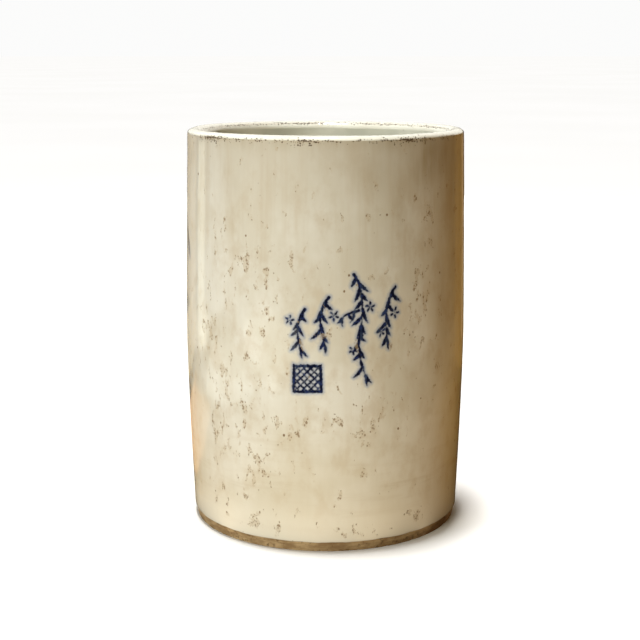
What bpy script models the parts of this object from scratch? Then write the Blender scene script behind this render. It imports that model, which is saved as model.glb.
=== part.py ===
"""A porcelain brush holder pot: a tall, faintly swelling cylinder that stands on a turned foot.

The pot stands on z = 0 with its axis on +Z, and its painted side faces -Y. Lengths are in metres.
It is one fired piece, so nothing moves. The clay body is made in three solids, the wall, the floor
slab inside it and the foot ring below, and each glazed zone is a thin skin laid over them.
"""

import math

import bmesh
import bpy

MM = 0.001

# Driving dimensions
HEIGHT = 173 * MM
BELLY_RADIUS = 61.9 * MM  # outside of the glaze where the pot is widest
BELLY_Z = 0.48 * HEIGHT
LIP_RADIUS = 60 * MM  # outside of the glaze at the top
FOOT_RADIUS = 59.4 * MM  # outside of the glaze, carried down to z = 0
UPPER_SWELL = 1.25  # powers of the two curves that meet at the belly
LOWER_SWELL = 1.5
WELL_RADIUS = 53 * MM  # inside of the glaze: the wall is straight within
WELL_FLOOR_Z = 10 * MM

GLAZE = 0.5 * MM  # thickness of a glaze skin
GAP = 0.3 * MM  # space between any two solids

LIP_OUTER_DROP = 1.8 * MM  # how far the rounded lip falls from its crest to the outer wall
LIP_INNER_DROP = 3.2 * MM  # and to the inner wall
LIP_CREST_SHARE = 0.45  # where the crest lies across the wall, from the outside in

FOOT_HEIGHT = 4.2 * MM  # the unglazed band, from the table up to the edge of the glaze
FOOT_TOP_RADIUS = FOOT_RADIUS - 0.2 * MM
FOOT_EDGE_RADIUS = FOOT_RADIUS - 0.9 * MM  # the band leans in to here
FOOT_CHAMFER = 0.5 * MM
FOOT_INNER_RADIUS = 50 * MM
RECESS_DEPTH = 3 * MM  # from the table up to the glaze under the base
RECESS_LEAN = 0.6 * MM  # the foot's inner side opens downwards by this much

SEGMENTS = 64  # round every turned piece
WALL_STEPS = 10  # up the outer wall
LIP_STEPS = 5  # on each side of the crest
CORNER_STEPS = 4  # round the corner between the well's wall and its floor
CORNER_RADIUS = 4 * MM
SMOOTH_ANGLE = math.radians(40)

# Colour, roughness and metallic value
CREAM_GLAZE = ((0.72, 0.62, 0.45), 0.18, 0.0)
WHITE_GLAZE = ((0.86, 0.84, 0.74), 0.16, 0.0)
GREY_GLAZE = ((0.62, 0.61, 0.53), 0.2, 0.0)
BISCUIT = ((0.66, 0.58, 0.46), 0.8, 0.0)
STAINED_BISCUIT = ((0.26, 0.18, 0.1), 0.85, 0.0)

SKIN = GLAZE + GAP  # from a glaze's face down to the clay under it
CREST_RADIUS = LIP_RADIUS - LIP_CREST_SHARE * (LIP_RADIUS - WELL_RADIUS)
OUTER_LIP_Z = HEIGHT - LIP_OUTER_DROP
INNER_LIP_Z = HEIGHT - LIP_INNER_DROP


def clear_scene():
    for obj in list(bpy.data.objects):
        bpy.data.objects.remove(obj)


def material(name, look):
    colour, roughness, metallic = look
    made = bpy.data.materials.new(name)
    made.use_nodes = True
    shader = made.node_tree.nodes["Principled BSDF"]
    shader.inputs["Base Color"].default_value = (*colour, 1)
    shader.inputs["Roughness"].default_value = roughness
    shader.inputs["Metallic"].default_value = metallic
    return made


def turned(name, profile, look):
    """One closed solid: the loop of (radius, z) points spun about the Z axis.

    A profile that reaches the axis is left open there, and its end points close on the axis.
    """
    mesh = bmesh.new()
    points = [mesh.verts.new((radius, 0, z)) for radius, z in profile]
    edges = [mesh.edges.new(pair) for pair in zip(points, points[1:])]
    reaches_axis = profile[0][0] == 0 and profile[-1][0] == 0
    if not reaches_axis:
        edges.append(mesh.edges.new((points[-1], points[0])))
    bmesh.ops.spin(
        mesh,
        geom=points + edges,
        cent=(0, 0, 0),
        axis=(0, 0, 1),
        angle=2 * math.pi,
        steps=SEGMENTS,
        use_merge=True,
    )
    bmesh.ops.remove_doubles(mesh, verts=mesh.verts, dist=0.001 * MM)
    bmesh.ops.recalc_face_normals(mesh, faces=mesh.faces)
    data = bpy.data.meshes.new(name)
    mesh.to_mesh(data)
    mesh.free()
    data.shade_smooth()
    data.set_sharp_from_angle(angle=SMOOTH_ANGLE)
    data.materials.append(material(name, look))
    obj = bpy.data.objects.new(name, data)
    bpy.context.scene.collection.objects.link(obj)
    return obj


def spaced(start, end, steps):
    return [start + (end - start) * i / steps for i in range(steps + 1)]


def outer_radius(z):
    """Outside of the glazed wall: two curves that fall away from the belly."""
    if z >= BELLY_Z:
        share = (z - BELLY_Z) / (HEIGHT - BELLY_Z)
        return BELLY_RADIUS - (BELLY_RADIUS - LIP_RADIUS) * share**UPPER_SWELL
    share = (BELLY_Z - z) / BELLY_Z
    return BELLY_RADIUS - (BELLY_RADIUS - FOOT_RADIUS) * share**LOWER_SWELL


def outer_line(depth, low, high):
    """The outer wall, from low to high, at a depth under the glaze's face."""
    return [(outer_radius(z) - depth, z) for z in spaced(low, high, WALL_STEPS)]


def lip_line(depth):
    """The rounded lip from the outer wall over the crest to the inner wall, at a depth under its face."""
    outer_span = outer_radius(OUTER_LIP_Z) - CREST_RADIUS
    inner_span = CREST_RADIUS - WELL_RADIUS
    line = []
    for angle in spaced(0, math.pi / 2, LIP_STEPS):
        radius = CREST_RADIUS + (outer_span - depth) * math.cos(angle)
        line.append((radius, OUTER_LIP_Z + (LIP_OUTER_DROP - depth) * math.sin(angle)))
    for angle in spaced(math.pi / 2, math.pi, LIP_STEPS)[1:]:
        radius = CREST_RADIUS + (inner_span - depth) * math.cos(angle)
        line.append((radius, INNER_LIP_Z + (LIP_INNER_DROP - depth) * math.sin(angle)))
    return line


def well_line(depth, top):
    """The well from its wall's top, down round the corner, to the middle of its floor."""
    wall = WELL_RADIUS + depth
    floor = WELL_FLOOR_Z - depth
    corner = CORNER_RADIUS + depth
    line = [(wall, top)]
    for angle in spaced(0, math.pi / 2, CORNER_STEPS):
        radius = wall - corner + corner * math.cos(angle)
        line.append((radius, floor + corner - corner * math.sin(angle)))
    return line + [(0, floor)]


def make_clay_wall():
    """The thrown cylinder. It stands on the foot ring, and the floor slab sits inside it."""
    bottom = FOOT_HEIGHT + GAP
    outside = outer_line(SKIN, bottom, OUTER_LIP_Z)
    lip = lip_line(SKIN)[1:]
    inner_radius = WELL_RADIUS + SKIN
    turned("clay_wall", outside + lip + [(inner_radius, bottom)], BISCUIT)


def make_clay_floor():
    """The slab that closes the wall's lower end, with its upper edge hollowed out by the well's corner."""
    radius = WELL_RADIUS + SKIN - GAP
    bottom = RECESS_DEPTH + SKIN
    above = well_line(SKIN, WELL_FLOOR_Z + CORNER_RADIUS)
    corner = [point for point in above if point[0] < radius - GAP]
    edge_z = corner[0][1]
    turned("clay_floor", [(0, bottom), (radius, bottom), (radius, edge_z)] + corner, BISCUIT)


def make_foot_ring():
    """The turned ring that the pot stands on. Its outer band is bare clay and leans in to the table."""
    turned(
        "foot_ring",
        [
            (FOOT_INNER_RADIUS + RECESS_LEAN, 0),
            (FOOT_EDGE_RADIUS - FOOT_CHAMFER, 0),
            (FOOT_EDGE_RADIUS, FOOT_CHAMFER),
            (FOOT_TOP_RADIUS, FOOT_HEIGHT),
            (WELL_RADIUS + SKIN, FOOT_HEIGHT),
            (WELL_RADIUS + SKIN, RECESS_DEPTH + GAP),
            (FOOT_INNER_RADIUS, RECESS_DEPTH + GAP),
        ],
        STAINED_BISCUIT,
    )


def make_outer_glaze():
    """The cream glaze of the wall, from its edge above the bare foot up to the lip."""
    outside = outer_line(0, FOOT_HEIGHT, OUTER_LIP_Z - GAP)
    inside = outer_line(GLAZE, FOOT_HEIGHT, OUTER_LIP_Z - GAP)
    turned("outer_glaze", outside + inside[::-1], CREAM_GLAZE)


def make_rim_glaze():
    """The whiter glaze over the lip, down to where the wall's glazes begin inside and out."""
    turned("rim_glaze", lip_line(0) + lip_line(GLAZE)[::-1], WHITE_GLAZE)


def make_inner_glaze():
    """The cup of glaze that lines the well: its wall, its round corner and its floor."""
    top = INNER_LIP_Z - GAP
    face = well_line(0, top)
    back = well_line(GLAZE, top)
    turned("inner_glaze", back[::-1] + face, GREY_GLAZE)


def make_base_glaze():
    """The disc of glaze in the recess under the floor slab."""
    radius = FOOT_INNER_RADIUS - GAP
    top = RECESS_DEPTH + GLAZE
    turned("base_glaze", [(0, RECESS_DEPTH), (radius, RECESS_DEPTH), (radius, top), (0, top)], WHITE_GLAZE)


clear_scene()
make_clay_wall()
make_clay_floor()
make_foot_ring()
make_outer_glaze()
make_rim_glaze()
make_inner_glaze()
make_base_glaze()
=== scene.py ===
"""The looks of a porcelain brush holder pot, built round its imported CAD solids.

The pot stands on z = 0 with its axis on +Z, and its painted side faces -Y. Lengths are in metres
unless a name ends in _MM. Places on the wall are given as (across, up) in millimetres: how far
round the wall from the middle of the painted side, positive to the right, and how far above the table.
"""

import math

import bpy
import numpy as np
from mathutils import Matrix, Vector, noise


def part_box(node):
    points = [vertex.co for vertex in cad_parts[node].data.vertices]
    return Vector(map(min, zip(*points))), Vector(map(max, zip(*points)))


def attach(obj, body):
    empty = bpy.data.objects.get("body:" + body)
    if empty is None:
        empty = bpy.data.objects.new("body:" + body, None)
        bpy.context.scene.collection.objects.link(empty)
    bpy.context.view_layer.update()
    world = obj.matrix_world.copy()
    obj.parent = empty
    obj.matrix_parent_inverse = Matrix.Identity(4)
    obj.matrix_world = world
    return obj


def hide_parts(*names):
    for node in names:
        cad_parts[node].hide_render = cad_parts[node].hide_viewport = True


MM = 0.001

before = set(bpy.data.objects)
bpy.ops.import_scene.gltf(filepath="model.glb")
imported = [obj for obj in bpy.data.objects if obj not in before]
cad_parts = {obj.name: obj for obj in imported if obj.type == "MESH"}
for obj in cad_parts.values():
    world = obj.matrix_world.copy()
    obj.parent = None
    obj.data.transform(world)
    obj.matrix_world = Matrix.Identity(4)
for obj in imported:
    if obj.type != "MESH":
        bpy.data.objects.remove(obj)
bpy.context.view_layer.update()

# ---------------------------------------------------------------- sizes, from the frame

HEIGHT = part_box("rim_glaze")[1].z
LIP_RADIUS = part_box("rim_glaze")[1].x
OUTER_LIP_DROP = 1.8 * MM
INNER_LIP_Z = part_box("rim_glaze")[0].z
OUTER_LIP_Z = HEIGHT - OUTER_LIP_DROP
GLAZE = 0.5 * MM
GAP = 0.3 * MM  # between neighbouring CAD solids
WELL_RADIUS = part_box("inner_glaze")[1].x - GLAZE
WELL_FLOOR_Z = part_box("inner_glaze")[0].z + GLAZE
WELL_CORNER = 4 * MM
CREST_RADIUS = LIP_RADIUS - 0.45 * (LIP_RADIUS - WELL_RADIUS)

BELLY_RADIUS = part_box("outer_glaze")[1].x
BELLY_Z = 0.48 * HEIGHT
UPPER_SWELL = 1.25
LOWER_SWELL = 1.5
GLAZE_EDGE_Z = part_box("outer_glaze")[0].z

FOOT_TOP_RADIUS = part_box("foot_ring")[1].x
FOOT_RADIUS = FOOT_TOP_RADIUS + 0.2 * MM
FOOT_EDGE_RADIUS = FOOT_RADIUS - 0.9 * MM
FOOT_INNER_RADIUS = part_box("base_glaze")[1].x + GAP
RECESS_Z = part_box("base_glaze")[0].z


def outer_radius(z):
    """Outside of the glazed wall: two curves that fall away from the belly."""
    if z >= BELLY_Z:
        share = (z - BELLY_Z) / (HEIGHT - BELLY_Z)
        return BELLY_RADIUS - (BELLY_RADIUS - LIP_RADIUS) * share**UPPER_SWELL
    share = (BELLY_Z - z) / BELLY_Z
    return BELLY_RADIUS - (BELLY_RADIUS - FOOT_RADIUS) * share**LOWER_SWELL


# ---------------------------------------------------------------- meshes


def spaced(start, end, steps):
    """Evenly spaced values from start to end, both included."""
    return [start * (1 - i / steps) + end * i / steps for i in range(steps + 1)]


def joined(cells, place):
    """(points, faces) for cells that are lists of corners.

    place turns a corner into its key and its point. Corners with one key become one point.
    """
    numbers = {}
    points = []
    faces = []
    for cell in cells:
        face = []
        for corner in cell:
            key, point = place(*corner)
            if key not in numbers:
                numbers[key] = len(points)
                points.append(Vector(point))
            if numbers[key] not in face:
                face.append(numbers[key])
        faces.append(face)
    return points, faces


def round_the_axis(radius, z, share):
    """A point at this share of a full turn from the front, going round to the right."""
    angle = 2 * math.pi * share
    return radius * math.sin(angle), -radius * math.cos(angle), z


def turned(profile, columns):
    """(points, faces) of a closed solid: the loop of (radius, z) points spun about Z.

    The loop runs with the solid on its left. It may start and end on the axis.
    """
    rows = len(profile)

    def place(column, row):
        radius, z = profile[row % rows]
        key = (column % columns if radius else 0, row % rows)
        return key, round_the_axis(radius, z, column / columns)

    last = rows - 1 if profile[0][0] == 0 else rows
    cells = [
        ((column, row), (column + 1, row), (column + 1, row + 1), (column, row + 1))
        for column in range(columns)
        for row in range(last)
    ]
    return joined(cells, place)


def wall_place(point):
    """(across, up) in millimetres of a point at or near the wall."""
    azimuth = math.atan2(point[0], -point[1])
    return azimuth * BELLY_RADIUS / MM, point[2] / MM


SWELL = 0.22 * MM
LIP_SWAY = 0.35 * MM


def hand_made(point):
    """The slight wobble that throwing and firing give the whole pot. It leaves the foot flat."""
    flat = Vector((point.x, point.y, 0)).normalized()
    lift = min(1, point.z / HEIGHT)
    swell = noise.noise(Vector((flat.x, flat.y, point.z / (90 * MM))) * 0.9)
    sway = noise.noise(Vector((flat.x * 1.3, flat.y * 1.3, 7.1)))
    return point + flat * (SWELL * swell * lift) + Vector((0, 0, LIP_SWAY * sway * lift**3))


def finished(name, shape, detail):
    """The (points, faces) as a smooth object, after its own surface detail and the whole pot's wobble."""
    points, faces = shape
    data = bpy.data.meshes.new(name)
    data.from_pydata([hand_made(detail(point)) for point in points], [], faces)
    data.shade_smooth()
    data.set_sharp_from_angle(angle=math.radians(50))
    made = bpy.data.objects.new(name, data)
    bpy.context.scene.collection.objects.link(made)
    return made


def put_attribute(piece, name, values):
    layer = piece.data.attributes.new(name, "FLOAT", "POINT")
    layer.data.foreach_set("value", np.asarray(values, np.float32))


# ---------------------------------------------------------------- brush strokes
# A stroke is a chain of (across, up, half width) points in millimetres, and the tone of its blue.


def stroke(start, bend, end, widths, tone=1.0, steps=9):
    """One stroke along a quadratic curve; widths are its half widths at the start, the middle and the end."""
    chain = []
    for t in spaced(0, 1, steps):
        across = (1 - t) ** 2 * start[0] + 2 * t * (1 - t) * bend[0] + t * t * end[0]
        up = (1 - t) ** 2 * start[1] + 2 * t * (1 - t) * bend[1] + t * t * end[1]
        width = (1 - t) ** 2 * widths[0] + 2 * t * (1 - t) * widths[1] + t * t * widths[2]
        chain.append((across, up, width))
    return chain, tone


def off(place, heading, distance):
    """The place this far away; a heading of 0 is up, 90 to the right and 180 down."""
    angle = math.radians(heading)
    return place[0] + distance * math.sin(angle), place[1] + distance * math.cos(angle)


def halfway(a, b):
    return (a[0] + b[0]) / 2, (a[1] + b[1]) / 2


def leaf(base, heading, length, width, curl, tone=1.0):
    """A leaf: one press of the brush that swells at once and tapers to a point."""
    bend = off(base, heading - curl, length * 0.5)
    return stroke(base, bend, off(base, heading, length), (width * 0.35, width * 1.15, 0.12), tone)


SPRAY_LENGTHS = (1.0, 0.82, 0.92, 0.7, 0.86)
SPRAY_CURL = 10


def spray(node, size, headings, tone):
    """Leaves that fan out from one joint of a twig. A heading of 180 hangs straight down."""
    made = []
    for share, heading in zip(SPRAY_LENGTHS, headings):
        curl = SPRAY_CURL if heading < 180 else -SPRAY_CURL
        made.append(leaf(node, heading, size * share, 0.19 * size**0.75, curl, tone))
    return made


PETAL_REACHES = (1.0, 0.88, 0.95, 0.84, 0.92)


def blossom(middle, size, turn):
    """Five separate petals round a dot."""
    made = [stroke(middle, middle, off(middle, turn, 0.1), (size * 0.12,) * 3)]
    for petal, share in enumerate(PETAL_REACHES):
        heading = turn + 72 * petal
        reach = size * share
        start = off(middle, heading, reach * 0.5)
        bend = off(middle, heading + 6, reach * 0.75)
        end = off(middle, heading, reach)
        made.append(stroke(start, bend, end, (size * 0.16, size * 0.26, size * 0.2)))
    return made


def curve_place(chain, share):
    """The place this far along a stroke's chain of points."""
    across, up, _ = chain[round(share * (len(chain) - 1))]
    return across, up


STEM_WIDTHS = (0.65, 0.4, 0.3)


def branch(top, bend, foot, leaves, size):
    """A thin hanging stem with leaves down both sides, each a little different in slant and length."""
    stem = stroke(top, bend, foot, STEM_WIDTHS, steps=24)
    made = [stem]
    for number in range(leaves):
        place = curve_place(stem[0], (number + 0.6) / leaves)
        side = 1 if number % 2 else -1
        heading = 180 - side * (34 + 15 * math.sin(2.4 * number + size))
        length = size * (0.92 + 0.22 * math.sin(1.7 * number + 2 * size))
        made.append(leaf(place, heading, length, 0.2 * size, -side * 14))
    made.append(leaf(foot, 180 + 10 * math.sin(size), size * 0.8, 0.17 * size, 6))
    return made


def lattice(low, high, bars, width):
    """A plain square panel: thin slanting bars that cross inside a broader frame."""
    (left, bottom), (right, top) = low, high
    corners = [(left, bottom), (right, bottom + 0.4), (right - 0.3, top), (left + 0.2, top - 0.3)]
    made = []
    for a, b in zip(corners, corners[1:] + corners[:1]):
        made.append(stroke(a, halfway(a, b), b, (width, width * 1.25, width)))
    side = right - left
    for bar in range(1, 2 * bars):
        offset = side * bar / bars
        start = (left + max(0, offset - side), bottom + min(offset, side))
        end = (left + min(offset, side), bottom + max(0, offset - side))
        middle = halfway(start, end)
        thin = width * (0.62, 0.5, 0.7)[bar % 3]
        made.append(stroke(start, middle, end, (thin,) * 3))
        mirrored = [(left + right - x, y) for x, y in (start, middle, end)]
        made.append(stroke(*mirrored, (thin,) * 3))
    return made


def front_sprigs():
    """Four hanging sprigs of leaves and blossom, from right to left, with a lattice panel below them."""
    strokes = branch((29.6, 112.0), (24.0, 106.0), (26.0, 91.0), 9, 5.6)
    strokes += blossom((29.2, 101.6), 2.1, 20)
    strokes += blossom((23.2, 94.0), 1.8, 50)
    strokes += branch((11.6, 118.0), (16.4, 112.0), (14.6, 96.0), 8, 5.8)
    strokes += branch((14.6, 97.0), (12.0, 88.0), (16.6, 76.0), 8, 5.0)
    strokes += branch((13.8, 103.4), (9.0, 102.6), (6.4, 100.4), 3, 4.2)
    strokes += blossom((18.4, 104.6), 2.0, 0)
    strokes += blossom((11.4, 87.0), 1.8, 30)
    strokes += branch((1.4, 109.0), (-4.4, 103.0), (-0.4, 90.0), 9, 5.2)
    strokes += blossom((3.4, 101.4), 2.0, 36)
    strokes += branch((-8.2, 104.0), (-13.2, 98.0), (-10.2, 87.6), 8, 4.8)
    strokes += blossom((-14.6, 99.4), 1.8, 10)
    strokes += lattice((-13.0, 69.8), (-1.6, 80.8), 4, 0.56)
    return strokes


JOINT_GAP_MM = 1.3


def bamboo_stem(across, foot, top, lean, width, joints, tone):
    """A stem of separate lengths, thinner towards the top, with a dark ring in the gap above each."""

    def on_stem(share, lift):
        return across + lean * share**2, foot + (top - foot) * share + lift

    made = []
    for joint in range(joints):
        low = joint / joints
        a = on_stem(low, JOINT_GAP_MM)
        b = on_stem((joint + 1) / joints, -JOINT_GAP_MM)
        thick = width * (1 - 0.35 * low)
        made.append(stroke(a, halfway(a, b), b, (thick * 1.15, thick * 0.8, thick * 1.1), tone))
        ring = [(b[0] + side * thick * 1.2, b[1] + JOINT_GAP_MM + 0.5 * abs(side)) for side in (-1, 0, 1)]
        made.append(stroke(*ring, (0.45, 0.3, 0.45)))
    return made


def back_bamboo():
    """A stand of bamboo that fills the far side of the wall, from the left of the front to the right."""
    half_turn = math.pi * BELLY_RADIUS / MM
    strokes = []
    stands = (
        (-half_turn + 8, 10, 150, 7, 2.6, 6, 0.55),
        (-half_turn + 34, 12, 128, -9, 1.9, 6, 0.42),
        (half_turn - 26, 11, 118, 8, 1.7, 5, 0.5),
        (-half_turn + 60, 14, 138, 6, 1.5, 7, 0.38),
    )
    for stand in stands:
        strokes += bamboo_stem(*stand)
    sprays = (
        (-86, 134, 19, (170, 196, 152)),
        (-92, 112, 21, (206, 176, 236)),
        (-98, 146, 20, (132, 160, 200)),
        (-108, 96, 20, (148, 188, 222)),
        (-116, 128, 24, (118, 150, 196, 228)),
        (-128, 152, 22, (140, 178, 214)),
        (-136, 108, 22, (130, 164, 204, 240)),
        (-148, 138, 25, (112, 146, 186, 226)),
        (-158, 84, 20, (136, 172, 212)),
        (-166, 118, 24, (126, 158, 202, 236)),
        (-176, 148, 24, (134, 170, 210, 238)),
        (186, 98, 22, (124, 160, 200, 236)),
        (176, 130, 24, (116, 152, 192, 226)),
        (164, 76, 19, (142, 178, 216)),
        (158, 112, 22, (128, 164, 208, 240)),
        (146, 92, 20, (138, 176, 218)),
        (140, 124, 20, (124, 158, 198)),
    )
    for place, (across, up, size, headings) in enumerate(sprays):
        tone = (1.0, 0.72, 0.9, 0.55)[place % 4]
        strokes += spray((across, up), size, headings, tone)
    return strokes


STROKES = front_sprigs() + back_bamboo()
FAR_FROM_INK_MM = 4.0


def ink_depth(across, up):
    """How deep each place lies inside the nearest stroke, in millimetres (negative outside), and its tone."""
    depth = np.full(len(across), -FAR_FROM_INK_MM)
    tone = np.zeros(len(across))
    for chain, stroke_tone in STROKES:
        points = np.array(chain)
        low = points[:, :2].min(0) - FAR_FROM_INK_MM
        high = points[:, :2].max(0) + FAR_FROM_INK_MM
        near = np.flatnonzero((across > low[0]) & (across < high[0]) & (up > low[1]) & (up < high[1]))
        if not len(near):
            continue
        place = np.stack([across[near], up[near]], 1)
        best = np.full(len(near), -FAR_FROM_INK_MM)
        for a, b in zip(points, points[1:]):
            run = b[:2] - a[:2]
            share = np.clip((place - a[:2]) @ run / max(run @ run, 1e-9), 0, 1)
            gap = np.linalg.norm(place - a[:2] - share[:, None] * run, axis=1)
            best = np.maximum(best, a[2] + (b[2] - a[2]) * share - gap)
        nearer = best > depth[near]
        depth[near[nearer]] = best[nearer]
        tone[near[nearer]] = stroke_tone
    return depth, tone


SPLITS = 4  # a plain cell of the wall may be split into this many, each way, where ink has an edge
FRONT_MM = 62  # the finest cells are kept to this far each side of the front


def inked_cells(columns, row_heights, first, last):
    """Cells (column, row, size) of the wall's face between two rows, finer where a stroke's edge may pass.

    They count in steps of 1 / SPLITS of a plain cell.
    """
    cells = []
    for column in range(columns):
        cells += [(column * SPLITS, row * SPLITS, SPLITS) for row in range(first, last)]
    done = []
    turn_mm = 2 * math.pi * BELLY_RADIUS / MM
    step_mm = turn_mm / columns / SPLITS
    while cells and cells[0][2] > 1:
        size = cells[0][2]
        middles = np.array(cells, float)[:, :2] + size / 2
        across = middles[:, 0] * step_mm
        across[across > turn_mm / 2] -= turn_mm
        up = np.interp(middles[:, 1] / SPLITS, np.arange(len(row_heights)), row_heights) / MM
        depth, _ = ink_depth(across, up)
        split = np.abs(depth) < size * step_mm * 0.75 + 0.2
        if size * 2 == SPLITS:
            split &= np.abs(across) < FRONT_MM
        done += [cell for cell, wanted in zip(cells, split) if not wanted]
        half = size // 2
        cells = [
            (column + right, row + above, half)
            for (column, row, _), wanted in zip(cells, split)
            if wanted
            for right in (0, half)
            for above in (0, half)
        ]
    return done + cells


def walked(cells, columns, rows):
    """Each (column, row, size) cell as its ring of corners, taking in its finer neighbours' corners."""

    def wrapped(column, row):
        return column % columns, row % rows

    corners = {wrapped(c + x, r + y) for c, r, size in cells for x in (0, size) for y in (0, size)}
    rings = []
    for c, r, size in cells:
        ring = [(c + step, r) for step in range(size)]
        ring += [(c + size, r + step) for step in range(size)]
        ring += [(c + size - step, r + size) for step in range(size)]
        ring += [(c, r + size - step) for step in range(size)]
        rings.append([corner for corner in (wrapped(*spot) for spot in ring) if corner in corners])
    return rings


# ---------------------------------------------------------------- pieces

WALL_COLUMNS = 260
WALL_ROWS = 110
TUCK = 0.5 * MM  # how far the glaze's edge hangs over the foot
EDGE_RISE = 0.6 * MM  # the height of that rounded edge
BACK_OVERLAP = 0.1 * MM  # how much thicker the glaze is at its hidden back than the CAD's
DRIP = 0.24 * MM
FINE_DRIP = 0.1 * MM
THROWING_RINGS = 0.05 * MM
EDGE_SWELL = 0.16 * MM


def wall_shape():
    """(points, faces) of the outer glaze: rounded at its lower edge, and split finely where it is painted."""
    low = GLAZE_EDGE_Z
    edge_radius = outer_radius(low)
    profile = []
    for angle in spaced(-math.pi / 2, 0, 4)[:-1]:
        profile.append((edge_radius - TUCK + TUCK * math.cos(angle), low + EDGE_RISE * (1 + math.sin(angle))))
    first = len(profile)
    profile += [(outer_radius(z), z) for z in spaced(low + EDGE_RISE, OUTER_LIP_Z, WALL_ROWS)]
    last = len(profile) - 1
    for z in (OUTER_LIP_Z, BELLY_Z, low + EDGE_RISE / 2):
        profile.append((outer_radius(z) - GLAZE - BACK_OVERLAP, z))
    rows = len(profile)

    cells = inked_cells(WALL_COLUMNS, [z for _, z in profile], first, last)
    for row in [*range(first), *range(last, rows)]:
        cells += [(column * SPLITS, row * SPLITS, SPLITS) for column in range(WALL_COLUMNS)]

    def place(column, row):
        whole, part = divmod(row, SPLITS)
        radius, z = profile[whole]
        if part:
            z += (profile[whole + 1][1] - z) * part / SPLITS
            radius = outer_radius(z)
        return (column, row), round_the_axis(radius, z, column / WALL_COLUMNS / SPLITS)

    return joined(walked(cells, WALL_COLUMNS * SPLITS, rows * SPLITS), place)


def make_wall():
    """The glaze of the outer wall, with a rounded, slightly thicker edge above the bare foot."""
    low = GLAZE_EDGE_Z

    def detail(point):
        flat = Vector((point.x, point.y, 0)).normalized()
        if point.xy.length < outer_radius(point.z) - TUCK * 1.05:
            return point
        above_edge = point.z - low
        drip = noise.noise(flat * 9) * DRIP + noise.noise(flat * 31) * FINE_DRIP
        point.z += drip * max(0, 1 - above_edge / (6 * MM))
        if above_edge > EDGE_RISE:
            rings = noise.noise(Vector((flat.x * 0.4, flat.y * 0.4, point.z / (5 * MM))))
            radius = outer_radius(point.z) + rings * THROWING_RINGS
            radius += EDGE_SWELL * math.exp(-((above_edge / (1.6 * MM)) ** 2))
            point.xy = flat.xy * radius
        return point

    wall = finished("wall_glaze", wall_shape(), detail)
    places = np.array([wall_place(vertex.co) for vertex in wall.data.vertices])
    depth, tone = ink_depth(places[:, 0], places[:, 1])
    put_attribute(wall, "ink_depth", depth)
    put_attribute(wall, "ink_tone", tone)
    put_attribute(wall, "specks", patches_at(places, SPECK_PATCHES))
    # Brown patches: real stains, with painted shade under the lip and partly on the upper right side.
    put_attribute(wall, "stain_and_shade", patches_at(places, STAINS_AND_SHADE))
    put_attribute(wall, "wear", [edge_wear(vertex.co) for vertex in wall.data.vertices])
    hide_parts("outer_glaze")
    return wall


# Patches of brown pinholes: (across, up, half width, half height) in millimetres, and how thick they lie.
SPECK_PATCHES = (
    (-52, 128, 6, 9, 0.5),
    (-45, 110, 5, 12, 0.6),
    (-40, 118, 5, 8, 0.8),
    (-55, 90, 7, 16, 0.8),
    (-47, 74, 6, 14, 0.9),
    (-50, 48, 8, 14, 1.0),
    (-38, 60, 7, 16, 0.8),
    (-30, 84, 6, 14, 0.6),
    (-26, 112, 5, 16, 0.9),
    (-33, 122, 4, 8, 0.9),
    (-17, 118, 5, 12, 0.5),
    (-12, 124, 4, 6, 0.6),
    (-30, 40, 8, 12, 0.9),
    (-18, 52, 6, 12, 0.5),
    (-10, 56, 5, 7, 0.6),
    (3, 57, 6, 6, 0.9),
    (14, 62, 5, 7, 0.8),
    (20, 54, 5, 8, 0.8),
    (30, 52, 5, 8, 0.5),
    (-13, 90, 4, 3, 0.9),
    (-1, 94, 4, 3, 0.9),
    (12, 118, 7, 12, 0.4),
    (36, 92, 6, 12, 0.6),
    (42, 108, 7, 14, 0.8),
    (48, 138, 4, 10, 0.9),
    (38, 146, 3, 5, 0.5),
    (52, 90, 5, 18, 0.7),
    (-33, 12, 5, 6, 0.8),
    (-50, 16, 6, 8, 0.6),
    (-22, 10, 4, 5, 0.5),
    (10, 8, 9, 3, 1.0),
    (19, 9, 7, 3, 0.9),
    (44, 11, 4, 3, 1.0),
    (-90, 70, 16, 24, 0.7),
    (-130, 40, 18, 22, 0.8),
    (-160, 100, 18, 30, 0.5),
    (150, 60, 20, 24, 0.8),
    (110, 110, 18, 26, 0.6),
    (90, 40, 14, 22, 0.7),
    (75, 130, 10, 20, 0.6),
)


# Soft brown patches in the glaze, in the same form. Those along the top, under the lip, are painted shade;
# those on the upper right side are partly real staining and partly painted shade; the rest are stains.
STAINS_AND_SHADE = (
    (50, 163, 15, 13, 0.65),
    (56, 146, 8, 16, 0.35),
    (40, 171, 20, 5, 0.6),
    (0, 171, 60, 3.4, 0.3),
    (-36, 171, 14, 4, 0.45),
    (18, 158, 7, 9, 0.22),
    (33, 146, 5, 16, 0.28),
    (58, 100, 6, 22, 0.3),
    (-44, 152, 8, 14, 0.2),
    (-130, 60, 26, 22, 0.35),
    (130, 150, 24, 16, 0.4),
    (-170, 168, 30, 6, 0.4),
)


def patches_at(places, patches):
    """How thickly the patches lie at each (across, up) place."""
    share = np.zeros(len(places))
    for across, up, half_width, half_height, thickness in patches:
        far = ((places[:, 0] - across) / half_width) ** 2 + ((places[:, 1] - up) / half_height) ** 2
        share = np.maximum(share, thickness * np.exp(-far))
    return share


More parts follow.
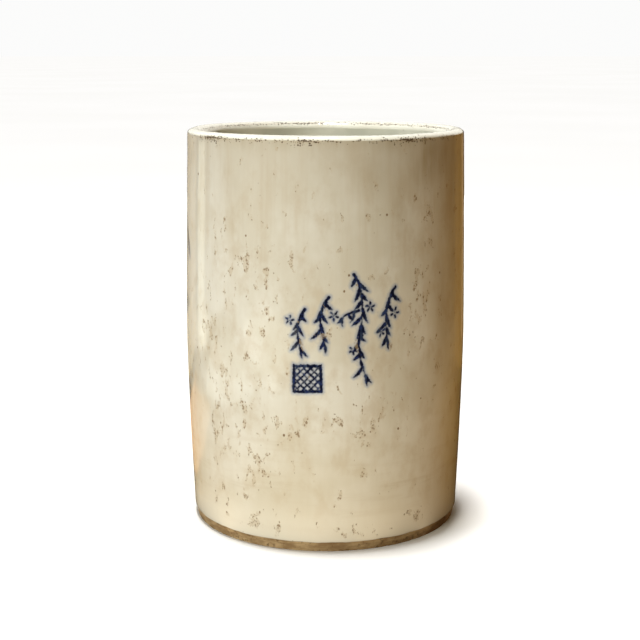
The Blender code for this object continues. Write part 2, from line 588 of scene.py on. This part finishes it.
# Where the lip's outer edge is worn: (middle, half width) in degrees round from the front, and how much.
WORN_SPANS = (
    (-50, 13, 1.0),
    (-27, 4, 0.7),
    (-17, 4, 0.5),
    (-8, 7, 0.95),
    (3, 4, 0.6),
    (23, 4, 0.5),
    (33, 7, 1.0),
    (42, 5, 0.8),
    (54, 5, 0.5),
    (82, 9, 0.6),
    (112, 14, 0.8),
    (150, 16, 0.6),
    (-168, 16, 0.8),
    (-128, 14, 0.7),
    (-86, 9, 0.5),
)


LEAST_WEAR = 0.2
INNER_LINE_DROP_MM = 1.1
INNER_LINE_WIDTH_MM = 0.4


def edge_wear(point):
    """How worn a point near the lip is: along its outer edge, and in a line a little inside the crest."""
    azimuth = math.degrees(math.atan2(point.x, -point.y))
    span = LEAST_WEAR
    for middle, half_width, much in WORN_SPANS:
        span = max(span, much * math.exp(-(((azimuth - middle) / half_width) ** 2)))
    if point.xy.length > CREST_RADIUS:
        rise = (point.z - OUTER_LIP_Z) / MM
        reach = 0.7 if rise > 0 else 0.6 + 0.7 * span
        return span * math.exp(-((rise / reach) ** 2))
    drop = (HEIGHT - point.z) / MM
    return (0.4 + 0.6 * span) * math.exp(-(((drop - INNER_LINE_DROP_MM) / INNER_LINE_WIDTH_MM) ** 2))


LIP_COLUMNS = 720
LIP_STEPS = 20
WELL_COLUMNS = 240
WELL_RINGS = 0.16 * MM
WELL_SPIRAL = 0.14 * MM
WELL_SPIRAL_PITCH = 1.3 * MM


def lip_curve(depth, steps):
    """The lip's (radius, z) points from the outer wall over the crest to the inner wall."""
    outer_span = outer_radius(OUTER_LIP_Z) - CREST_RADIUS
    inner_span = CREST_RADIUS - WELL_RADIUS
    line = []
    for angle in spaced(0, math.pi / 2, steps):
        radius = CREST_RADIUS + (outer_span - depth) * math.cos(angle)
        line.append((radius, OUTER_LIP_Z + (HEIGHT - OUTER_LIP_Z - depth) * math.sin(angle)))
    for angle in spaced(math.pi / 2, math.pi, steps)[1:]:
        radius = CREST_RADIUS + (inner_span - depth) * math.cos(angle)
        line.append((radius, INNER_LIP_Z + (HEIGHT - INNER_LIP_Z - depth) * math.sin(angle)))
    return line


def make_lip():
    """The whiter glaze over the lip, worn thin and pitted along its outer edge."""
    shape = turned(lip_curve(0, LIP_STEPS) + lip_curve(GLAZE, 4)[::-1], LIP_COLUMNS)

    def detail(point):
        flat = Vector((point.x, point.y, 0)).normalized()
        outward = point.xy.length - CREST_RADIUS
        low, high = (OUTER_LIP_Z, HEIGHT) if outward > 0 else (INNER_LIP_Z, HEIGHT)
        share = (point.z - low) / (high - low)
        if share < 0.02:
            return point
        dents = noise.noise(flat * 24) * 0.08 + noise.noise(flat * 90 + Vector((0, 0, point.z * 800))) * 0.06
        point.z += dents * MM * min(1, share * 3)
        return point

    lip = finished("lip_glaze", shape, detail)
    put_attribute(lip, "wear", [edge_wear(vertex.co) for vertex in lip.data.vertices])
    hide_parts("rim_glaze")
    return lip


def make_well():
    """The cup of greyish glaze inside: a straight wall with faint throwing rings, and a turned floor."""
    top = INNER_LIP_Z
    face = [(WELL_RADIUS, z) for z in spaced(top, WELL_FLOOR_Z + WELL_CORNER, 70)]
    for angle in spaced(0, math.pi / 2, 10)[1:]:
        radius = WELL_RADIUS - WELL_CORNER + WELL_CORNER * math.cos(angle)
        face.append((radius, WELL_FLOOR_Z + WELL_CORNER * (1 - math.sin(angle))))
    face += [(radius, WELL_FLOOR_Z) for radius in spaced(WELL_RADIUS - WELL_CORNER, 0, 60)[1:]]
    outside = WELL_RADIUS + GLAZE
    back = [(0, WELL_FLOOR_Z - GLAZE), (WELL_RADIUS - WELL_CORNER, WELL_FLOOR_Z - GLAZE)]
    back += [(outside, WELL_FLOOR_Z + WELL_CORNER), (outside, top)]
    shape = turned(back + face, WELL_COLUMNS)

    def detail(point):
        flat = Vector((point.x, point.y, 0))
        radius = flat.length
        if radius > WELL_RADIUS + GLAZE / 2 or point.z < WELL_FLOOR_Z - GLAZE / 2:
            return point
        if point.z > WELL_FLOOR_Z + WELL_CORNER:
            rings = noise.noise(Vector((flat.x * 6, flat.y * 6, point.z / (6 * MM)))) * WELL_RINGS
            fade = min(1, (top - point.z) / (8 * MM))
            point.xy = flat.xy * (1 + rings * fade / radius)
        elif radius < WELL_RADIUS - WELL_CORNER:
            azimuth = math.atan2(point.y, point.x)
            fade = min(1, radius / (6 * MM)) * min(1, (WELL_RADIUS - WELL_CORNER - radius) / (3 * MM))
            point.z += WELL_SPIRAL * math.sin(radius / WELL_SPIRAL_PITCH + azimuth) * fade
        return point

    well = finished("well_glaze", shape, detail)
    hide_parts("inner_glaze")
    return well


FOOT_COLUMNS = 600
FOOT_CHAMFER = 0.5 * MM
FOOT_SLOPE = 0.6 * MM  # how far the recess's side leans outward on its way down to the table
EDGE_BAND = 1.2 * MM  # the band of faces along the hidden top's outer edge


def make_foot():
    """The bare turned foot: a rounded, slightly chipped ring of rough clay."""
    top = GLAZE_EDGE_Z + GAP
    inside = FOOT_INNER_RADIUS + FOOT_SLOPE
    flat_start = inside + FOOT_CHAMFER
    flat_end = FOOT_EDGE_RADIUS - FOOT_CHAMFER
    line = [(FOOT_TOP_RADIUS - EDGE_BAND, top), (FOOT_INNER_RADIUS, top), (FOOT_INNER_RADIUS, RECESS_Z)]
    for share in spaced(0, 1, 6)[1:]:
        line.append((FOOT_INNER_RADIUS + FOOT_SLOPE * share, RECESS_Z - (RECESS_Z - FOOT_CHAMFER) * share))
    for angle in spaced(math.pi, 1.5 * math.pi, 4)[1:]:
        line.append((flat_start + FOOT_CHAMFER * math.cos(angle), FOOT_CHAMFER * (1 + math.sin(angle))))
    line += [(radius, 0) for radius in spaced(flat_start, flat_end, 16)[1:]]
    for angle in spaced(-math.pi / 2, 0, 5)[1:]:
        line.append((flat_end + FOOT_CHAMFER * math.cos(angle), FOOT_CHAMFER * (1 + math.sin(angle))))
    for share in spaced(0, 1, 14)[1:]:
        radius = FOOT_EDGE_RADIUS + (FOOT_TOP_RADIUS - FOOT_EDGE_RADIUS) * share
        line.append((radius, FOOT_CHAMFER + (top - FOOT_CHAMFER) * share))
    shape = turned(line, FOOT_COLUMNS)

    def detail(point):
        flat = Vector((point.x, point.y, 0)).normalized()
        if point.xy.length < inside or point.z > top - 0.05 * MM:
            return point
        grooves = noise.noise(Vector((flat.x * 2, flat.y * 2, point.z / (0.5 * MM)))) * 0.05
        grit = noise.noise(point / (1.1 * MM)) * 0.05
        chips = max(0, noise.noise(flat * 34 + Vector((0, 0, 3))) - 0.45) * 1.2
        low_edge = math.exp(-((point.z / (0.9 * MM)) ** 2)) if point.xy.length > flat_end else 0
        radius = point.xy.length + (grooves + grit - chips * low_edge) * MM
        point.xy = flat.xy * radius
        if point.z < 0.01 * MM:
            point.z += 0.05 * MM * max(0, noise.noise(point / (1.6 * MM)))
        return point

    foot = finished("bare_foot", shape, detail)
    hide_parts("foot_ring")
    return foot


BASE_COLUMNS = 200
FILLET_WIDTH = 1.2 * MM
FILLET_DROP = 0.7 * MM
BASE_SPIRAL = 0.05 * MM
BASE_SPIRAL_PITCH = 1.1 * MM
BASE_SAG = 0.12 * MM


def make_base():
    """The glazed disc in the recess under the pot, slightly uneven and thicker where it meets the foot."""
    radius = FOOT_INNER_RADIUS
    top = RECESS_Z + GLAZE
    line = [(distance, RECESS_Z) for distance in spaced(0, radius - FILLET_WIDTH, 50)]
    for angle in spaced(0, math.pi / 2, 4)[1:]:
        distance = radius - FILLET_WIDTH * (1 - math.sin(angle))
        line.append((distance, RECESS_Z - FILLET_DROP * (1 - math.cos(angle))))
    line += [(radius, top), (0, top)]
    shape = turned(line, BASE_COLUMNS)

    def detail(point):
        if point.z > RECESS_Z + GLAZE / 2:
            return point
        distance = point.xy.length
        rings = math.sin(distance / BASE_SPIRAL_PITCH + math.atan2(point.y, point.x)) * BASE_SPIRAL
        sag = noise.noise(point / (18 * MM)) * BASE_SAG
        point.z += (rings + sag) * min(1, distance / (5 * MM)) * min(1, (radius - distance) / (3 * MM))
        return point

    base = finished("base_recess_glaze", shape, detail)
    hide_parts("base_glaze")
    return base


# ---------------------------------------------------------------- materials


class Graph:
    """One material's node tree, with a short call for each kind of node."""

    def __init__(self, name):
        self.material = bpy.data.materials.new(name)
        self.material.use_nodes = True
        self.tree = self.material.node_tree
        self.shader = self.tree.nodes["Principled BSDF"]
        self.place = self.add("ShaderNodeTexCoord").outputs["Object"]

    def add(self, kind, **settings):
        node = self.tree.nodes.new(kind)
        for name, value in settings.items():
            setattr(node, name, value)
        return node

    def put(self, socket, value):
        """Links a socket, or sets it when the value is a plain number or colour."""
        if isinstance(value, bpy.types.NodeSocket):
            self.tree.links.new(value, socket)
        elif isinstance(value, tuple) and len(value) == 3 and socket.type == "RGBA":
            socket.default_value = (*value, 1)
        else:
            socket.default_value = value

    def attribute(self, name):
        return self.add("ShaderNodeAttribute", attribute_name=name).outputs["Fac"]

    def stretched(self, stretch):
        mapping = self.add("ShaderNodeMapping")
        self.put(mapping.inputs["Vector"], self.place)
        mapping.inputs["Scale"].default_value = stretch
        return mapping.outputs["Vector"]

    def noise(self, size, detail=2.0, stretch=(1, 1, 1), roughness=0.5, distortion=0.0):
        """Noise whose features are about size across."""
        node = self.add("ShaderNodeTexNoise")
        self.put(node.inputs["Vector"], self.stretched(stretch))
        node.inputs["Scale"].default_value = 1 / size
        node.inputs["Detail"].default_value = detail
        node.inputs["Roughness"].default_value = roughness
        node.inputs["Distortion"].default_value = distortion
        return node.outputs["Fac"]

    def cells(self, size, stretch):
        """The distance to the nearest cell's point, in cells, and two random numbers for that cell."""
        node = self.add("ShaderNodeTexVoronoi")
        self.put(node.inputs["Vector"], self.stretched(stretch))
        node.inputs["Scale"].default_value = 1 / size
        split = self.add("ShaderNodeSeparateColor")
        self.put(split.inputs["Color"], node.outputs["Color"])
        return node.outputs["Distance"], split.outputs["Red"], split.outputs["Green"]

    def between(self, value, low, high, smooth=True):
        """0 at low and 1 at high, or the other way round when low is the larger."""
        node = self.add("ShaderNodeMapRange", interpolation_type="SMOOTHSTEP" if smooth else "LINEAR")
        self.put(node.inputs["Value"], value)
        self.put(node.inputs["From Min"], low)
        self.put(node.inputs["From Max"], high)
        return node.outputs["Result"]

    def maths(self, operation, a, b):
        node = self.add("ShaderNodeMath", operation=operation)
        self.put(node.inputs[0], a)
        self.put(node.inputs[1], b)
        return node.outputs["Value"]

    def times(self, *values):
        result = values[0]
        for value in values[1:]:
            result = self.maths("MULTIPLY", result, value)
        return result

    def height(self):
        """How far above the table."""
        split = self.add("ShaderNodeSeparateXYZ")
        self.put(split.inputs["Vector"], self.place)
        return split.outputs["Z"]

    def blend(self, share, under, over):
        """The colour under, with this share of the colour over it."""
        node = self.add("ShaderNodeMix", data_type="RGBA")
        factor, a, b = [socket for socket in node.inputs if socket.enabled]
        self.put(factor, share)
        self.put(a, under)
        self.put(b, over)
        return next(socket for socket in node.outputs if socket.enabled)

    def bump(self, value, distance, strength=1.0, normal=None):
        node = self.add("ShaderNodeBump")
        self.put(node.inputs["Height"], value)
        node.inputs["Distance"].default_value = distance
        node.inputs["Strength"].default_value = strength
        if normal:
            self.put(node.inputs["Normal"], normal)
        return node.outputs["Normal"]

    def specks(self, size, share, largest, stretch=(1, 1, 0.8)):
        """Round spots in some of the cells: share of 0 to 1 says how many, largest their radius in cells."""
        distance, chance, spread = self.cells(size, stretch)
        radius = self.maths("ADD", self.times(spread, largest * 0.65), largest * 0.35)
        spot = self.between(self.maths("SUBTRACT", radius, distance), -0.05, 0.08)
        return self.times(spot, self.maths("LESS_THAN", chance, share))

    def worn_edge(self, colour):
        """The colour with the lip's broken brown wear line over it, and how much of that line shows here."""
        wear = self.attribute("wear")
        stained = self.between(wear, 0.05, 0.8)
        colour = self.blend(self.times(stained, 0.3), colour, TAN)
        grain = self.noise(1.0 * MM, 3, (1, 1, 1.5), 0.7)
        chipped = self.between(self.maths("SUBTRACT", self.times(wear, 0.63), grain), 0.0, 0.05)
        pits = self.specks(0.72 * MM, self.times(wear, 2.0), 0.55, (1, 1, 1))
        marks = self.maths("MAXIMUM", self.times(chipped, 0.9), self.times(pits, 0.92))
        return self.blend(marks, colour, DARK_BROWN), marks


CREAM = (0.69, 0.635, 0.53)
PALE_CREAM = (0.79, 0.75, 0.67)
TAN = (0.54, 0.42, 0.28)
GREY_TAN = (0.58, 0.52, 0.42)
WARM = (0.71, 0.59, 0.40)
PALE_GLAZE_AND_PAINTED_BOUNCE = (0.86, 0.78, 0.64)
STAIN_AND_SHADE_BROWN = (0.36, 0.26, 0.13)
BROWN = (0.19, 0.105, 0.042)
DARK_BROWN = (0.075, 0.037, 0.011)
INK = (0.003, 0.006, 0.026)
THIN_INK = (0.014, 0.026, 0.1)
WASH = (0.16, 0.24, 0.42)
LIP_WHITE = (0.86, 0.85, 0.75)
WELL_GREY = (0.60, 0.60, 0.51)
CLAY = (0.29, 0.18, 0.085)
PALE_CLAY = (0.52, 0.36, 0.19)
BODY_CLAY = (0.55, 0.47, 0.36)
PALE_BODY_CLAY = (0.68, 0.6, 0.48)
FLOOR_WHITE = (0.93, 0.93, 0.92)
PALE_FLOOR_WHITE = (0.95, 0.95, 0.945)

WALL_ROUGHNESS = 0.16
LIP_ROUGHNESS = 0.14
INSIDE_ROUGHNESS = 0.2


def glossy(graph, roughness, coat):
    graph.shader.inputs["Roughness"].default_value = roughness
    graph.shader.inputs["IOR"].default_value = 1.5
    graph.shader.inputs["Coat Weight"].default_value = coat
    graph.shader.inputs["Coat Roughness"].default_value = 0.06


def aged_glaze(graph):
    """The wall's cream: clouded and streaked, greyer towards the lip, warmer low down, with painted shade
    under the lip, a paler band near the foot that is partly painted floor bounce, and brown patches that are
    real stains in places and painted shade in others.
    """
    clouds = graph.between(graph.noise(34 * MM, 4, (1, 1, 0.8), 0.6), 0.38, 0.64)
    colour = graph.blend(clouds, CREAM, PALE_CREAM)
    mottle = graph.between(graph.noise(9 * MM, 4, (1, 1, 0.7), 0.62), 0.46, 0.7)
    colour = graph.blend(graph.times(mottle, 0.36), colour, TAN)
    streaks = graph.between(graph.noise(11 * MM, 4, (1, 1, 0.1), 0.62), 0.48, 0.76)
    high = graph.between(graph.height(), 95 * MM, 172 * MM)
    colour = graph.blend(graph.times(streaks, graph.maths("ADD", graph.times(high, 0.36), 0.16)), colour, TAN)
    colour = graph.blend(graph.times(high, 0.3), colour, GREY_TAN)
    fine = graph.between(graph.noise(2.6 * MM, 3, (1, 1, 0.06), 0.6), 0.44, 0.7)
    colour = graph.blend(graph.times(fine, graph.maths("ADD", graph.times(high, 0.15), 0.05)), colour, TAN)
    # Painted shade: greyer tan that deepens up the top of the wall, under the lip's overhang.
    painted_shade_under_lip = graph.between(graph.height(), 142 * MM, 171 * MM)
    colour = graph.blend(graph.times(painted_shade_under_lip, 0.45), colour, GREY_TAN)
    brushed = graph.between(graph.noise(16 * MM, 3, (0.35, 0.35, 3.2), 0.6), 0.5, 0.74)
    low = graph.between(graph.height(), 75 * MM, 12 * MM)
    colour = graph.blend(graph.times(low, 0.36), colour, WARM)
    colour = graph.blend(graph.times(low, brushed, 0.35), colour, TAN)
    # Partly a paler glaze and partly painted light: the lowest band is lightened as if lit by bounce from the
    # bright table.
    edge = graph.between(graph.height(), 26 * MM, 9 * MM)
    colour = graph.blend(graph.times(edge, 0.75), colour, PALE_GLAZE_AND_PAINTED_BOUNCE)
    # Brown patches: real stains in places, painted shade along the top under the lip, and partly painted
    # shade on the upper right side.
    stain_and_shade_blotches = graph.between(graph.noise(6 * MM, 4, (1, 1, 0.16), 0.66), 0.3, 0.7)
    stain_and_shade = graph.times(graph.attribute("stain_and_shade"), graph.maths("ADD", graph.times(stain_and_shade_blotches, 0.75), 0.3))
    return graph.blend(stain_and_shade, colour, STAIN_AND_SHADE_BROWN)


def brushwork(graph, colour):
    """The colour with the painting over it: ragged strokes that pool dark or run thin, in a soft halo."""
    depth = graph.attribute("ink_depth")
    brush_hairs = graph.maths("SUBTRACT", graph.noise(1.3 * MM, 3, (1, 1, 0.12), 0.6), 0.5)
    tone = graph.maths("ADD", graph.attribute("ink_tone"), graph.times(brush_hairs, 0.9))
    ragged = graph.maths("SUBTRACT", graph.noise(1.1 * MM, 2), 0.5)
    depth_here = graph.maths("ADD", graph.times(ragged, 0.9), depth)
    halo = graph.between(depth_here, -1.7, 0.3)
    core = graph.between(depth_here, -0.36, 0.26)
    pooled = graph.between(graph.noise(1.6 * MM, 3), 0.3, 0.52)
    dark = graph.blend(pooled, THIN_INK, INK)
    ink = graph.blend(graph.between(tone, 0.3, 1.0, smooth=False), WASH, dark)
    colour = graph.blend(graph.times(halo, 0.58, graph.attribute("ink_tone")), colour, WASH)
    return graph.blend(core, colour, ink)


def pinholes(graph, colour):
    """The colour with clusters of brown pinholes over it, and how much of them shows here."""
    patch = graph.attribute("specks")
    level = graph.maths("SUBTRACT", 0.655, graph.times(patch, 0.158))
    cluster = graph.noise(3.6 * MM, 3, (1, 1, 0.6), 0.6, 0.3)
    share = graph.between(graph.maths("SUBTRACT", cluster, level), -0.015, 0.045)
    colour = graph.blend(graph.times(share, 0.42), colour, TAN)
    large = graph.specks(1.15 * MM, graph.times(share, 0.7), 0.5)
    small = graph.specks(0.75 * MM, graph.times(share, 0.85), 0.5)
    lone = graph.specks(1.9 * MM, graph.maths("ADD", graph.times(patch, 0.08), 0.006), 0.3)
    dots = graph.maths("MAXIMUM", graph.times(large, 0.68), graph.times(small, 0.62))
    spots = graph.maths("MAXIMUM", dots, graph.times(lone, 0.9))
    return graph.blend(spots, colour, BROWN), spots


def wall_material():
    graph = Graph("cream_glaze")
    colour, spots = pinholes(graph, brushwork(graph, aged_glaze(graph)))
    colour, marks = graph.worn_edge(colour)
    graph.put(graph.shader.inputs["Base Color"], colour)
    glossy(graph, WALL_ROUGHNESS, 0.6)
    flaws = graph.maths("MAXIMUM", spots, marks)
    peel = graph.bump(graph.noise(5 * MM, 2, (1, 1, 0.6)), 0.08 * MM)
    pits = graph.maths("SUBTRACT", 1.0, flaws)
    graph.put(graph.shader.inputs["Normal"], graph.bump(pits, 0.06 * MM, 1.0, peel))
    graph.put(graph.shader.inputs["Roughness"], graph.maths("ADD", graph.times(flaws, 0.4), WALL_ROUGHNESS))
    return graph.material


def lip_material():
    graph = Graph("lip_glaze")
    clouds = graph.between(graph.noise(14 * MM, 3), 0.35, 0.7)
    colour = graph.blend(graph.times(clouds, 0.35), LIP_WHITE, CREAM)
    colour, marks = graph.worn_edge(colour)
    graph.put(graph.shader.inputs["Base Color"], colour)
    glossy(graph, LIP_ROUGHNESS, 0.5)
    graph.put(graph.shader.inputs["Roughness"], graph.maths("ADD", graph.times(marks, 0.5), LIP_ROUGHNESS))
    peel = graph.bump(graph.noise(2.5 * MM, 2), 0.03 * MM)
    pits = graph.maths("SUBTRACT", 1.0, marks)
    graph.put(graph.shader.inputs["Normal"], graph.bump(pits, 0.12 * MM, 1.0, peel))
    return graph.material


def well_material():
    graph = Graph("well_glaze")
    clouds = graph.between(graph.noise(30 * MM, 3), 0.35, 0.7)
    colour = graph.blend(clouds, WELL_GREY, LIP_WHITE)
    # Darker tan patches towards the floor of the well.
    low = graph.between(graph.height(), 70 * MM, 9 * MM)
    dark_patches = graph.between(graph.noise(12 * MM, 4, (1, 1, 0.3), 0.6), 0.4, 0.7)
    colour = graph.blend(graph.times(low, dark_patches, 0.6), colour, TAN)
    spots = graph.specks(2.4 * MM, 0.08, 0.25)
    colour = graph.blend(graph.times(spots, 0.7), colour, BROWN)
    graph.put(graph.shader.inputs["Base Color"], colour)
    glossy(graph, INSIDE_ROUGHNESS, 0.5)
    graph.put(graph.shader.inputs["Normal"], graph.bump(graph.noise(4 * MM, 2), 0.05 * MM))
    return graph.material


def base_material():
    graph = Graph("base_glaze")
    clouds = graph.between(graph.noise(18 * MM, 3), 0.35, 0.7)
    colour = graph.blend(clouds, LIP_WHITE, PALE_CREAM)
    spots = graph.specks(2.2 * MM, 0.16, 0.28)
    colour = graph.blend(graph.times(spots, 0.8), colour, BROWN)
    graph.put(graph.shader.inputs["Base Color"], colour)
    glossy(graph, INSIDE_ROUGHNESS, 0.5)
    graph.put(graph.shader.inputs["Normal"], graph.bump(graph.noise(4 * MM, 2), 0.05 * MM))
    return graph.material


def clay_material(name, dark, pale, dark_patches):
    """Bare fired clay: turning lines, grit, and brown grime in its hollows."""
    graph = Graph(name)
    mottle = graph.between(graph.noise(7 * MM, 4, (1, 1, 2), 0.6), 0.35, 0.68)
    colour = graph.blend(mottle, dark, pale)
    lines = graph.between(graph.noise(0.9 * MM, 3, (0.15, 0.15, 1.4)), 0.45, 0.7)
    colour = graph.blend(graph.times(lines, 0.35), colour, BROWN)
    dirt = graph.between(graph.noise(2.2 * MM, 4, (1, 1, 1), 0.65), 0.56, 0.68)
    colour = graph.blend(graph.times(dirt, dark_patches), colour, DARK_BROWN)
    graph.put(graph.shader.inputs["Base Color"], colour)
    graph.shader.inputs["Roughness"].default_value = 0.78
    grit = graph.bump(graph.noise(0.7 * MM, 4, (1, 1, 1), 0.7), 0.08 * MM)
    graph.put(graph.shader.inputs["Normal"], graph.bump(lines, 0.05 * MM, 0.7, grit))
    return graph.material


def floor_material():
    graph = Graph("floor")
    tint = graph.between(graph.noise(0.8, 2), 0.3, 0.7)
    graph.put(graph.shader.inputs["Base Color"], graph.blend(tint, FLOOR_WHITE, PALE_FLOOR_WHITE))
    graph.shader.inputs["Roughness"].default_value = 0.9
    graph.shader.inputs["Specular IOR Level"].default_value = 0.1
    return graph.material


def dress(piece, material):
    piece.data.materials.clear()
    piece.data.materials.append(material)
    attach(piece, "root")


# ---------------------------------------------------------------- the pot


def build_pot():
    dress(make_wall(), wall_material())
    dress(make_lip(), lip_material())
    dress(make_well(), well_material())
    dress(make_foot(), clay_material("foot_clay", CLAY, PALE_CLAY, 0.7))
    dress(make_base(), base_material())
    body = clay_material("body_clay", BODY_CLAY, PALE_BODY_CLAY, 0.2)
    for name in ("clay_wall", "clay_floor"):
        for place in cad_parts[name].material_slots:
            place.material = body


# ---------------------------------------------------------------- floor, light and camera


FLOOR_RADIUS = 40


def build_floor():
    """A wide pale floor that catches the pot's shadow, kept out of the pot's own light and reflections."""
    bpy.ops.mesh.primitive_circle_add(vertices=96, radius=FLOOR_RADIUS, fill_type="NGON")
    floor = bpy.context.object
    floor.name = "floor"
    floor.data.materials.append(floor_material())
    floor.visible_diffuse = False
    floor.visible_glossy = False


def aim(thing, target):
    thing.rotation_euler = (Vector(target) - thing.location).to_track_quat("-Z", "Y").to_euler()


def area_light(name, place, target, size, glow, kind="both"):
    """A rectangle of light whose surface has this glow (its red, green and blue radiance).

    A "fill" light is left out of reflections, and a "mirrored" one shows in them alone.
    """
    lamp = bpy.data.lights.new(name, "AREA")
    lamp.shape = "RECTANGLE"
    lamp.size, lamp.size_y = size
    brightest = max(glow)
    lamp.energy = math.pi * size[0] * size[1] * brightest
    lamp.color = [part / brightest for part in glow]
    light = bpy.data.objects.new(name, lamp)
    light.location = place
    bpy.context.scene.collection.objects.link(light)
    aim(light, target)
    light.visible_camera = False
    light.visible_glossy = kind != "fill"
    light.visible_diffuse = kind != "mirrored"
    return light


def card(name, place, size, glow, kind):
    """A bright card lying face up on the floor."""
    height = 2 * MM
    return area_light(name, (*place, height), (*place, 1), size, glow, kind)


POT_MIDDLE = (0, 0, HEIGHT / 2)


def light_the_wall():
    """Soft boxes round the pot: near white from the front left and from behind, amber from the right."""
    soft_boxes = (
        ("key", (-0.596, -1.122, 0.36), 0.5, (13.9, 13.5, 11.2)),
        ("side_key", (-1.10, -0.64, 0.36), 0.5, (7.2, 7.8, 8.6)),
        ("front_fill", (0.33, -1.23, 0.36), 0.5, (1.05, 1.05, 0.95)),
        ("amber_side", (1.19, -0.43, 0.36), 0.5, (1.25, 0.55, 0.0)),
        ("brown_wall", (1.15, 0.54, 0.36), 0.5, (0.7, 0.36, 0.03)),
        ("back_fill", (0.15, 1.25, 0.36), 0.6, (5.4, 5.3, 4.7)),
    )
    for name, place, size, glow in soft_boxes:
        area_light(name, place, POT_MIDDLE, (size, size), glow, "fill")


FOOT_CARD_DISTANCE = 0.08
FOOT_CARDS = ((-80, 2.2), (-45, 0.7), (-5, 0.45), (22, 0.65), (45, 0.45), (70, 0.2))


def light_the_lower_wall():
    """Cards that light the pot as the bright table round it would, and small ones close to its foot."""
    card("front_card", (0.02, -0.15), (0.26, 0.12), (0.85, 0.77, 0.6), "fill")
    card("left_card", (-0.13, 0.045), (0.1, 0.1), (5.8, 4.1, 1.4), "fill")
    card("right_card", (0.14, -0.02), (0.1, 0.14), (0.8, 0.42, 0.03), "fill")
    card("far_right_card", (0.3, 0.13), (0.25, 0.25), (2.2, 1.1, 0.05), "fill")
    for azimuth, strength in FOOT_CARDS:
        turn = math.radians(azimuth)
        place = (FOOT_CARD_DISTANCE * math.sin(turn), -FOOT_CARD_DISTANCE * math.cos(turn))
        glow = (strength, strength * 0.86, strength * 0.66)
        card("foot_card", place, (0.03, 0.03), glow, "fill")


def reflect_the_room():
    """A window at the left, and the table, walls and panels whose blurred reflections show in the glaze."""
    area_light("window", (-0.347, 0.154, 0.0775), (-0.053, -0.032, 0.0775), (0.074, 0.153), (1.0, 1.0, 0.8))
    card("table_glow", (-0.335, -0.08), (0.19, 0.30), (0.9, 0.95, 0.85), "mirrored")
    card("near_table_glow", (-0.34, -0.35), (0.34, 0.26), (1.3, 1.3, 1.1), "mirrored")
    card("stripe_glow", (-0.455, 0.155), (0.15, 0.09), (1.1, 1.1, 0.95), "mirrored")
    card("amber_table", (-0.15, 0.1), (0.14, 0.14), (0.6, 0.33, 0.15), "mirrored")
    left_target = (-0.057, -0.02, 0.085)
    area_light("left_edge", (-0.33, 0.45, 0.085), left_target, (0.32, 0.165), (0.44, 0.37, 0.26), "mirrored")
    card("left_table", (-0.27, 0.33), (0.3, 0.22), (0.5, 0.42, 0.28), "mirrored")
    right_target = (0.06, 0, 0.08)
    area_light("right_edge", (0.35, 0.45, 0.06), right_target, (0.3, 0.25), (0.15, 0.08, 0.02), "mirrored")
    line_target = (0.056, -0.027, 0.1)
    area_light("right_line", (0.215, 0.33, 0.1), line_target, (0.014, 0.2), (0.5, 0.4, 0.25), "mirrored")
    area_light("back_panel", (0, 1.3, 0.8), POT_MIDDLE, (3.2, 1.2), (0.95, 0.92, 0.82), "mirrored")


def light_from_above():
    """The overhead light, whose soft shadow falls on the floor."""
    sun = bpy.data.lights.new("overhead", "SUN")
    sun.energy = 3.3
    sun.angle = math.radians(9)
    overhead = bpy.data.objects.new("overhead", sun)
    overhead.location = (-0.05, 0.03, 1)
    aim(overhead, (0, 0, 0))
    bpy.context.scene.collection.objects.link(overhead)


def build_lights():
    light_the_wall()
    light_the_lower_wall()
    reflect_the_room()
    light_from_above()


PAGE_WHITE = (0.97, 0.97, 0.965, 1)
DIM_BROWN = (0.035, 0.025, 0.014, 1)


def build_world():
    """White behind the pot, and a dim brown room for it to reflect."""
    world = bpy.data.worlds.new("studio")
    bpy.context.scene.world = world
    world.use_nodes = True
    tree = world.node_tree
    seen = tree.nodes.new("ShaderNodeLightPath")
    mix = tree.nodes.new("ShaderNodeMix")
    mix.data_type = "RGBA"
    share, room, page = [socket for socket in mix.inputs if socket.enabled]
    tree.links.new(seen.outputs["Is Camera Ray"], share)
    room.default_value = DIM_BROWN
    page.default_value = PAGE_WHITE
    colour = next(socket for socket in mix.outputs if socket.enabled)
    tree.links.new(colour, tree.nodes["Background"].inputs["Color"])


LENS = 74.4
CAMERA_PLACE = (0, -0.5825, 0.2065)
CAMERA_TARGET = (-0.0024, 0, 0.0872)


def build_camera():
    data = bpy.data.cameras.new("camera")
    data.sensor_width = 36
    data.lens = LENS
    camera = bpy.data.objects.new("camera", data)
    camera.location = CAMERA_PLACE
    bpy.context.scene.collection.objects.link(camera)
    aim(camera, CAMERA_TARGET)
    bpy.context.scene.camera = camera


build_pot()
build_floor()
build_lights()
build_world()
build_camera()
bpy.context.scene.view_settings.view_transform = "Standard"
